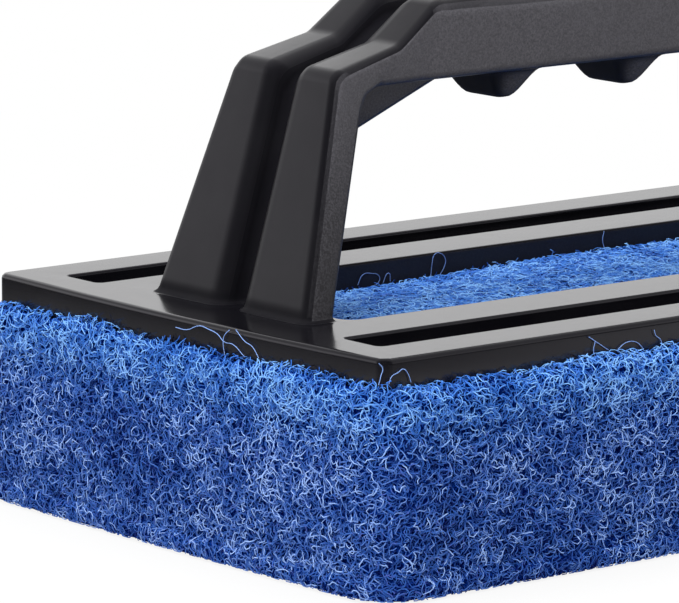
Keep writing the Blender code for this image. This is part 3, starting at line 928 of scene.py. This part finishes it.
# How fibres lie: their share, points, length, thickness, bobbing, arching, depth of starts and lift in tone.
# The lift is painted light on the rim and the window, lit from above, and on the foot, lifted out of its
# shade; the loose strays are paler fibres.
Habit = namedtuple("Habit", "share points longer thicker rise arch depth tone")
HABITS = {
    "side": Habit(1.0, 7, 1.0, 1.0, 2.6, 0.5, 0.9 * MM, 0.0),
    "rim": Habit(1.18, 7, 1.0, 1.0, 2.6, 0.5, 0.9 * MM, 0.05),
    "foot": Habit(1.0, 7, 0.9, 1.0, 1.4, 0.2, 0.5 * MM, 0.04),
    "window": Habit(0.92, 7, 1.0, 0.95, 1.9, 0.35, 0.6 * MM, 0.03),
    "inner": Habit(0.85, 7, 0.9, 1.0, 1.4, 0.2, 0.3 * MM, 0.0),
    "under": Habit(0.22, 6, 1.0, 1.0, 1.0, 0.15, 0.8 * MM, 0.0),
    "covered": Habit(0.18, 6, 1.0, 1.0, 1.0, 0.15, 0.8 * MM, 0.0),
    "loose": Habit(0.009, 18, 2.7, 0.85, 3.0, 0.9, 1.0 * MM, 0.25),
}


def side_of(centre, at_end):
    """The name of the pad's side at a place, at one of its ends or along it."""
    if at_end:
        return "front" if centre.x < 0 else "rear"
    return "near" if centre.y < 0 else "far"


def plate_gaps(centre):
    """How far a place lies past the plate's ends and past its sides."""
    return abs(centre.x) - FRAME_HIGH.x, abs(centre.y) - FRAME_HIGH.y


def pad_region(centre, normal):
    """The name of the pad's region that a face belongs to, or nothing behind the rim and the foot."""
    along, across, up = (abs(value) for value in normal)
    if centre.z > RIM_FOOT + RIM_OVERLAP and beyond_plate(centre.x, centre.y) > -0.5 * MM:
        return None
    if centre.z > RIM_FOOT and in_window(centre):
        return "window"
    is_flat = up > max(along, across)
    if is_flat and normal.z < 0:
        return "under"
    if centre.z < FOOT_TOP:
        return None
    if not is_flat:
        return side_of(centre, along > across)
    end_gap, side_gap = plate_gaps(centre)
    if max(end_gap, side_gap) < -COVERED_EDGE:
        return "covered"
    return side_of(centre, end_gap > side_gap)


def band_face(centre, normal):
    """The name of the side that a band's face belongs to, and whether it looks in."""
    end_gap, side_gap = plate_gaps(centre)
    at_end = end_gap + PLATE_END_BOW > side_gap
    axis = 0 if at_end else 1
    return side_of(centre, at_end), normal[axis] * centre[axis] < -0.5 * abs(centre[axis])


def band_region(centre, normal):
    """The name of the side that a band's face belongs to, or nothing where it looks in or down."""
    name, looks_in = band_face(centre, normal)
    return None if looks_in or normal.z < -0.5 else name


def inner_region(centre, normal):
    """The name of the side that a face of the rim's inner wall belongs to, above the plate's bed."""
    name, looks_in = band_face(centre, normal)
    return name if looks_in and centre.z > RIM_BED else None


def sorted_faces(mesh, region_of):
    """A mesh's faces by region, in order along it."""
    regions = {}
    for face in mesh.polygons:
        regions.setdefault(region_of(face.center, face.normal), []).append(face)
    regions.pop(None, None)
    for name, faces in regions.items():
        axis = 1 if name in ("front", "rear") else 0
        faces.sort(key=lambda face: face.center[axis])
    return dict(sorted(regions.items()))


def faces_mesh(name, mesh, faces):
    """A mesh of some of another mesh's faces."""
    used = sorted({corner for face in faces for corner in face.vertices})
    number = {corner: place for place, corner in enumerate(used)}
    places = [mesh.vertices[corner].co for corner in used]
    part = bpy.data.meshes.new(name)
    part.from_pydata(places, [], [[number[corner] for corner in face.vertices] for face in faces])
    return part


def cover(tree, material, look, mesh, name, faces, seed, habit_name):
    """Covers one region with fibres, in pieces that are not too large, and returns the last seed."""
    habit = HABITS[habit_name]
    at_end, at_side, in_middle = name in ("front", "rear"), name in ("near", "far"), name == "window"
    density = look.fibres_per_mm2 * habit.share / MM**2
    triangles = sum(face.area for face in faces) * density * 4 * (habit.points - 1)
    count = math.ceil(triangles / MOST_TRIANGLES)
    for part in range(count):
        seed += SEEDS_APART
        piece_name = f"{habit_name}_{name}_{part + 1}"
        chunk = faces[len(faces) * part // count : len(faces) * (part + 1) // count]
        piece = new_piece(piece_name, faces_mesh(piece_name, mesh, chunk))
        grow(
            piece,
            tree,
            density=density,
            points=habit.points,
            length=look.fibre_length * habit.longer,
            thickness=look.fibre_thickness * habit.thicker,
            curl=look.curl,
            curl_length=look.curl_length,
            rise=habit.rise,
            arch=habit.arch,
            depth=habit.depth,
            tone=habit.tone,
            floor=FIBRE_FLOOR,
            ceiling=PAD_TOP if name == "covered" else FAR_AWAY,
            nearest_x=FRAME_HIGH.x + WALL_GAP if at_end else 0.0,
            farthest_x=WINDOW_HALF_LENGTH - WALL_GAP if in_middle else FAR_AWAY,
            nearest_y=FRAME_HIGH.y + WALL_GAP if at_side else 0.0,
            farthest_y=WINDOW_HALF_WIDTH - WALL_GAP if in_middle else FAR_AWAY,
            seed=seed,
            material=material,
        )
        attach(piece, "pad")
    return seed


class SCRUBBER_OT_pad_fibres(Operator):
    """Covers the pad with curled fibres, region by region"""

    bl_idname = "scrubber.pad_fibres"
    bl_label = "Pad Fibres"

    def execute(self, context):
        look = context.scene.scrubber_pad
        tree, material = fibre_tree(), fibre_material(look)
        guide, rim, foot = core_piece(), rim_mesh(), foot_mesh()
        seed = look.seed
        for name, faces in sorted_faces(guide.data, pad_region).items():
            habit_name = name if name in HABITS else "side"
            seed = cover(tree, material, look, guide.data, name, faces, seed, habit_name)
        for band, habit_name in ((foot, "foot"), (rim, "rim"), (rim, "loose"), (rim, "inner")):
            region_of = inner_region if habit_name == "inner" else band_region
            for name, faces in sorted_faces(band, region_of).items():
                seed = cover(tree, material, look, band, name, faces, seed, habit_name)
        bpy.data.objects.remove(guide)
        bpy.data.meshes.remove(rim)
        bpy.data.meshes.remove(foot)
        return {"FINISHED"}


# Single strands

STRAND_TONE = 0.93
STRAND_THINNER = 0.68
# The wall that each strand lies up, then places along that wall and heights, in millimetres
STRANDS = (
    (
        "front",
        ((-1, 32), (-3.5, 32), (-6.5, 33), (-8.5, 32.8), (-10.5, 32.4), (-12, 31.5))
        + ((-14, 31.4), (-16.5, 30)),
    ),
    ("front", ((-13.3, 33.4), (-12, 32.3), (-11.8, 31), (-12.2, 29.6))),
    ("front", ((-14.6, 33.6), (-15.5, 32.9), (-16.6, 32.2), (-18.2, 31.7), (-19.6, 30.3))),
    ("near", ((-82, 33.3), (-81.3, 32.5), (-81.6, 31.5), (-82, 30.3))),
    ("near", ((-80.2, 30.2), (-79.7, 31.2), (-78.6, 31.6), (-77.7, 32), (-76.8, 31.2), (-76.3, 30))),
    ("near", ((-44, 32.6), (-42.4, 31.6), (-40.3, 30.3))),
    ("near", ((-42.8, 31.8), (-43.1, 30.6), (-42.8, 29.6))),
    ("near", ((-38.5, 30.2), (-37, 31), (-35, 30.8), (-33.7, 29.7))),
    ("near", ((-31.7, 32.2), (-31.4, 31.4), (-30.4, 30.6), (-30.2, 29.4))),
    ("window", ((-34.2, 30.2), (-33.2, 31.7), (-31.6, 31.7), (-30.1, 31.2), (-30, 30.4), (-32, 29.6))),
    ("window", ((-29.3, 30), (-28.2, 31.4), (-27.9, 30.1))),
    (
        "window",
        ((-20, 29.7), (-19.7, 32), (-19.2, 33.3), (-18.2, 33.4), (-17.1, 32.4), (-17.2, 31.4), (-18.2, 30)),
    ),
    ("window", ((15, 33.4), (14.7, 32), (15.3, 30.2))),
)


def strand_place(wall, along, height):
    """A place just off one of the plate's walls."""
    along, height = along * MM, height * MM
    if wall == "front":
        end = FRAME_HIGH.x - PLATE_END_BOW * (along / FRAME_HIGH.y) ** 2
        return (-end - WALL_GAP, along, height)
    return (along, -FRAME_HIGH.y - WALL_GAP if wall == "near" else WINDOW_HALF_WIDTH - WALL_GAP, height)


def strands_mesh(context, thickness):
    """The single strands as thin tubes."""
    data = bpy.data.curves.new("strands", "CURVE")
    data.dimensions = "3D"
    data.bevel_depth = thickness / 2
    data.bevel_resolution = 1
    data.resolution_u = 4
    for wall, places in STRANDS:
        spline = data.splines.new("BEZIER")
        spline.bezier_points.add(len(places) - 1)
        for knot, (along, height) in zip(spline.bezier_points, places):
            knot.co = strand_place(wall, along, height)
            knot.handle_left_type = knot.handle_right_type = "AUTO"
    holder = linked("strands", data)
    mesh = bpy.data.meshes.new_from_object(holder.evaluated_get(context.evaluated_depsgraph_get()))
    bpy.data.objects.remove(holder)
    bpy.data.curves.remove(data)
    for name, value in ((TONE, STRAND_TONE), (TOP_LIT, 0.0)):
        values = np.full(len(mesh.vertices), value, np.float32)
        mesh.attributes.new(name, "FLOAT", "POINT").data.foreach_set("value", values)
    return mesh


class SCRUBBER_OT_strands(Operator):
    """Lays single strands up the plate's walls"""

    bl_idname = "scrubber.strands"
    bl_label = "Strands"

    def execute(self, context):
        mesh = strands_mesh(context, context.scene.scrubber_pad.fibre_thickness * STRAND_THINNER)
        piece = new_piece("strands", mesh, bpy.data.materials["curled_fibre"])
        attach(piece, "pad")
        return {"FINISHED"}


# Hook tape and film

HOOK_STEM = 0.5 * MM
HOOK_HEAD = 1.1 * MM
HOOK_HEAD_THICKNESS = 0.35 * MM
HOOK_HEIGHT = 1.2 * MM
HOOK_SIDES = 8
HOOK_LEAN = 0.1
HOOK_TURN = 6.28
TAPE_EDGE = 0.95 * MM
TAPE_CORNER = 0.7 * MM
TAPE_EASING = 0.12 * MM
RIBS_PER_METRE = 420.0
NYLON_PALE = (0.045, 0.045, 0.048, 1.0)
FILM_TONES = ((0.5, 0.48, 0.41, 1.0), (0.66, 0.64, 0.58, 1.0))
HOOK_INPUTS = (
    ("Geometry", ("Backing",)),
    ("Object", ("Hook",)),
    ("Int", ("Rows", "Per Row", "Seed")),
    ("Float", ("Field Length", "Field Width")),
    ("Vector", ("Middle",)),
    ("Material", ("Material",)),
)


def nylon_material(look):
    """Black nylon of the hook tape, with a fine rib across the backing."""
    material, tree = new_material("hook_nylon")
    point = object_point(tree)
    feeds = {"Vector": point, "Scale": RIBS_PER_METRE, "Distortion": 0.6, "Detail": 1.0}
    rib = put(tree, "ShaderNodeTexWave", feeds, bands_direction="X").at("Fac")
    fuzz = point.noise(0.5 * MM, detail=3.0)
    feeds = {
        "Base Color": fuzz.spread(0.4, 0.7).blend(colour(look.nylon), NYLON_PALE),
        "Roughness": fuzz.varied(0.45, 0.2),
        "Normal": bumped(rib, 0.05 * MM, 0.5),
    }
    return surfaced(material, feeds)


def film_material():
    """Milky pressure-sensitive adhesive."""
    material, tree = new_material("adhesive_film")
    cloud = object_point(tree).noise(4.0 * MM, detail=4.0)
    return surfaced(material, {"Base Color": cloud.blend(*FILM_TONES), "Roughness": cloud.varied(0.4, 0.3)})


def hook_mesh():
    """One mushroom hook that hangs from the origin: a stem, and a head with a domed end."""
    work = bmesh.new()
    neck = HOOK_HEIGHT - HOOK_HEAD_THICKNESS
    outline = (
        (0.6 * HOOK_STEM, 0.0),
        (0.5 * HOOK_STEM, -0.3 * neck),
        (0.5 * HOOK_STEM, -neck),
        (0.5 * HOOK_HEAD, -neck - 0.3 * HOOK_HEAD_THICKNESS),
        (0.36 * HOOK_HEAD, -HOOK_HEIGHT),
    )
    angles = [math.tau * side / HOOK_SIDES for side in range(HOOK_SIDES)]
    rings = []
    for radius, height in outline:
        rings.append([work.verts.new((radius * math.cos(a), radius * math.sin(a), height)) for a in angles])
    for upper, lower in zip(rings, rings[1:]):
        for side in range(HOOK_SIDES):
            after = (side + 1) % HOOK_SIDES
            work.faces.new((upper[side], lower[side], lower[after], upper[after]))
    work.faces.new(rings[0])
    work.faces.new(reversed(rings[-1]))
    bmesh.ops.recalc_face_normals(work, faces=work.faces)
    return worked(work, bpy.data.meshes.new("hook"))


def backing_mesh(name, low, high):
    """The tape's backing strip with its edges eased."""
    work = bmesh.new()
    bmesh.ops.create_cube(work, size=1.0)
    bmesh.ops.scale(work, vec=high - low, verts=work.verts)
    bmesh.ops.translate(work, vec=(low + high) / 2, verts=work.verts)

    def stands(edge):
        return abs(edge.verts[0].co.z - edge.verts[1].co.z) > 1e-6

    for upright, offset, segments in ((True, TAPE_CORNER, 3), (False, TAPE_EASING, 1)):
        edges = [edge for edge in work.edges if stands(edge) == upright]
        bmesh.ops.bevel(work, geom=edges, offset=offset, segments=segments, affect="EDGES", profile=0.5)
    return worked(work, bpy.data.meshes.new(name))


def hook_tree():
    """Geometry Nodes that set hooks in rows under a tape's backing."""
    tree, given = node_group("hook_rows", HOOK_INPUTS, "Tape")
    sizes = {"Size X": given["Field Length"], "Size Y": given["Field Width"]}
    counts = {"Vertices X": given["Per Row"], "Vertices Y": given["Rows"]}
    places = moved(put(tree, "GeometryNodeMeshGrid", {**sizes, **counts}), Offset=given["Middle"])
    shape = put(tree, "GeometryNodeObjectInfo", {"Object": given["Hook"]}).at("Geometry")
    least, most = (-HOOK_LEAN, -HOOK_LEAN, 0.0), (HOOK_LEAN, HOOK_LEAN, HOOK_TURN)
    feeds = {"Min": least, "Max": most, "Seed": given["Seed"]}
    lean = put(tree, "FunctionNodeRandomValue", feeds, data_type="FLOAT_VECTOR")
    turned = put(tree, "FunctionNodeEulerToRotation", {0: lean})
    feeds = {"Points": places, "Instance": shape, "Rotation": turned}
    hooks = put(tree, "GeometryNodeInstanceOnPoints", feeds)
    joined = put(tree, "GeometryNodeJoinGeometry", {0: given["Backing"]})
    tree.links.new(hooks.socket, joined.socket.node.inputs[0])
    return ended(joined, given["Material"])


class SCRUBBER_OT_hook_tapes(Operator):
    """Makes the two strips of hook tape with single hooks"""

    bl_idname = "scrubber.hook_tapes"
    bl_label = "Hook Tapes"

    def execute(self, context):
        look = context.scene.scrubber_tape
        tree, material = hook_tree(), nylon_material(look)
        hook = new_piece("hook_shape", hook_mesh())
        for number, side in enumerate(("near", "far")):
            low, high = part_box("hook_tape_" + side)
            backing_low = Vector((low.x, low.y, low.z + HOOK_HEIGHT))
            length = high.x - low.x - 2 * TAPE_EDGE - HOOK_HEAD
            piece = new_piece("hooks_" + side, backing_mesh("hooks_" + side, backing_low, high))
            grow(
                piece,
                tree,
                hook=hook,
                rows=look.rows,
                per_row=1 + round(length / look.pitch),
                field_length=length,
                field_width=high.y - low.y - 2 * TAPE_EDGE - HOOK_HEAD,
                middle=((low.x + high.x) / 2, (low.y + high.y) / 2, backing_low.z),
                seed=number,
                material=material,
            )
            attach(piece, "frame")
            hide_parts("hook_tape_" + side)
        bpy.data.objects.remove(hook)
        return {"FINISHED"}


class SCRUBBER_OT_adhesive_films(Operator):
    """Gives the adhesive films behind the tapes their finish"""

    bl_idname = "scrubber.adhesive_films"
    bl_label = "Adhesive Films"

    def execute(self, context):
        material = film_material()
        for side in ("near", "far"):
            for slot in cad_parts["adhesive_" + side].material_slots:
                slot.material = material
        return {"FINISHED"}


# Stage

WHITE = (1.0, 1.0, 1.0, 1.0)
PAPER = (0.6, 0.6, 0.6, 1.0)
FLOOR_HALF = 1.6
FLOOR_LEVEL = -0.3 * MM
CARD_PLACE = (0.15, -0.18, 0.0)
CARD_WHITE = 0.95
CEILING_WHITE = 1.2
LIT_PLACE = Vector((0.0, 0.0, 0.03))


def seen_directly(tree):
    """1 for camera, glossy and transmitted rays and 0 for the rest, and 1 for camera rays alone."""
    camera = put(tree, "ShaderNodeLightPath").at("Is Camera Ray")
    gloss = camera.at("Is Glossy Ray").maths("MAXIMUM", camera.at("Is Transmission Ray"))
    return camera.maths("MAXIMUM", gloss), camera


def floor_material(look):
    """White table with a soft shadow. Gloss shows it darker away from the object, but for a white card."""
    material, tree = new_material("studio_floor")
    seen, by_camera = seen_directly(tree)
    point = object_point(tree)
    away = point.vectors("LENGTH")
    white = away.spread(0.13, 0.19, 1.0, look.room) * away.spread(0.2, 0.3, 1.0, 0.25)
    from_card = point.vectors("SUBTRACT", CARD_PLACE).vectors("LENGTH")
    white = white.maths("MAXIMUM", from_card.spread(0.03, 0.12, CARD_WHITE, 0.0))
    paper = put(tree, "ShaderNodeBsdfDiffuse", {"Color": PAPER})
    glow = put(tree, "ShaderNodeEmission", {"Color": WHITE, "Strength": white.maths("MAXIMUM", by_camera)})
    share = seen * away.spread(0.15, 0.4, look.floor_white, 1.0)
    mixed = put(tree, "ShaderNodeMixShader", {0: share, 1: paper, 2: glow})
    put(tree, "ShaderNodeOutputMaterial", {"Surface": mixed})
    return material


def studio_world(look):
    """White backdrop behind the object, a darker room on the camera's side, and even light from all round."""
    world = bpy.data.worlds.new("studio")
    tree = emptied(world)
    seen, by_camera = seen_directly(tree)
    way = put(tree, "ShaderNodeTexCoord").at("Generated")
    front = Vector((math.sin(look.azimuth), -math.cos(look.azimuth), 0.0))
    towards = way.vectors("DOT_PRODUCT", front)
    height = way.xyz()[2]
    backdrop = towards.spread(-0.8, -0.5, 1.0, 0.0)
    rising = height.spread(0.02, 0.24, look.room, CEILING_WHITE)
    ceiling = rising.maths("MINIMUM", height.spread(0.32, 0.6, CEILING_WHITE, 0.4))
    lit = backdrop.maths("MAXIMUM", ceiling * towards.spread(-0.2, 0.45, 1.0, 0.12))
    strength = seen.blend(look.sky, lit.maths("MAXIMUM", by_camera), "FLOAT")
    light = put(tree, "ShaderNodeBackground", {"Color": WHITE, "Strength": strength})
    put(tree, "ShaderNodeOutputWorld", {"Surface": light})
    return world


def softbox(name, place, size, watts):
    """A square lamp that looks at the object."""
    data = bpy.data.lights.new(name, "AREA")
    data.shape = "SQUARE"
    data.size = size
    data.energy = watts
    lamp = linked(name, data)
    lamp.location = place
    lamp.rotation_euler = (LIT_PLACE - Vector(place)).to_track_quat("-Z", "Y").to_euler()
    lamp.visible_glossy = False


def photo_camera(look):
    """The camera at the photograph's place and angle."""
    data = bpy.data.cameras.new("camera")
    data.lens = look.lens
    data.sensor_width = 36.0
    data.clip_start = 0.05
    data.clip_end = 50.0
    a, e = look.azimuth, look.elevation
    back = Vector((math.sin(a) * math.cos(e), -math.cos(a) * math.cos(e), math.sin(e)))
    right = Vector((math.cos(a), math.sin(a), 0.0))
    up = back.cross(right)
    tilted = right * math.cos(look.roll) + up * math.sin(look.roll)
    raised = up * math.cos(look.roll) - right * math.sin(look.roll)
    turn = Matrix((tilted, raised, back)).transposed().to_4x4()
    camera = linked("camera", data)
    camera.matrix_world = Matrix.Translation(Vector(look.camera_place)) @ turn
    bpy.context.scene.camera = camera


class SCRUBBER_OT_stage(Operator):
    """Sets up the floor, the light and the camera"""

    bl_idname = "scrubber.stage"
    bl_label = "Stage"

    def execute(self, context):
        scene = context.scene
        look = scene.scrubber_stage
        scene.view_settings.view_transform = "Standard"
        scene.world = studio_world(look)
        mesh = bpy.data.meshes.new("studio_floor")
        signs = ((-1, -1), (1, -1), (1, 1), (-1, 1))
        corners = [(x * FLOOR_HALF, y * FLOOR_HALF, FLOOR_LEVEL) for x, y in signs]
        mesh.from_pydata(corners, [], [(0, 1, 2, 3)])
        new_piece("studio_floor", mesh, floor_material(look))
        softbox("top_light", (-0.1, 0.1, 1.1), 1.1, 20.0)
        softbox("front_light", (-0.79, -0.63, 0.7), 0.6, 9.4)
        photo_camera(look)
        return {"FINISHED"}


# Add-on

SETTINGS = {
    "scrubber_stage": StageSettings,
    "scrubber_moulding": MouldingSettings,
    "scrubber_tape": TapeSettings,
    "scrubber_pad": PadSettings,
}
OPERATORS = (
    SCRUBBER_OT_stage,
    SCRUBBER_OT_bow_frame,
    SCRUBBER_OT_hook_tapes,
    SCRUBBER_OT_adhesive_films,
    SCRUBBER_OT_pad_core,
    SCRUBBER_OT_pad_fibres,
    SCRUBBER_OT_strands,
)


class SCRUBBER_PT_panel(Panel):
    """Settings and builders of the scrubber"""

    bl_label = "Pool Wall Scrubber"
    bl_space_type = "VIEW_3D"
    bl_region_type = "UI"
    bl_category = "Scrubber"

    def draw(self, context):
        for name, kind in SETTINGS.items():
            box = self.layout.box()
            for setting in kind.__annotations__:
                box.prop(getattr(context.scene, name), setting)
        for operator in OPERATORS:
            self.layout.operator(operator.bl_idname)


CLASSES = (*SETTINGS.values(), *OPERATORS, SCRUBBER_PT_panel)


def register():
    for kind in CLASSES:
        bpy.utils.register_class(kind)
    for name, kind in SETTINGS.items():
        setattr(bpy.types.Scene, name, PointerProperty(type=kind))


def unregister():
    for name in SETTINGS:
        delattr(bpy.types.Scene, name)
    for kind in reversed(CLASSES):
        bpy.utils.unregister_class(kind)


def main():
    register()
    for operator in OPERATORS:
        family, name = operator.bl_idname.split(".")
        getattr(getattr(bpy.ops, family), name)()


if __name__ == "__main__":
    main()
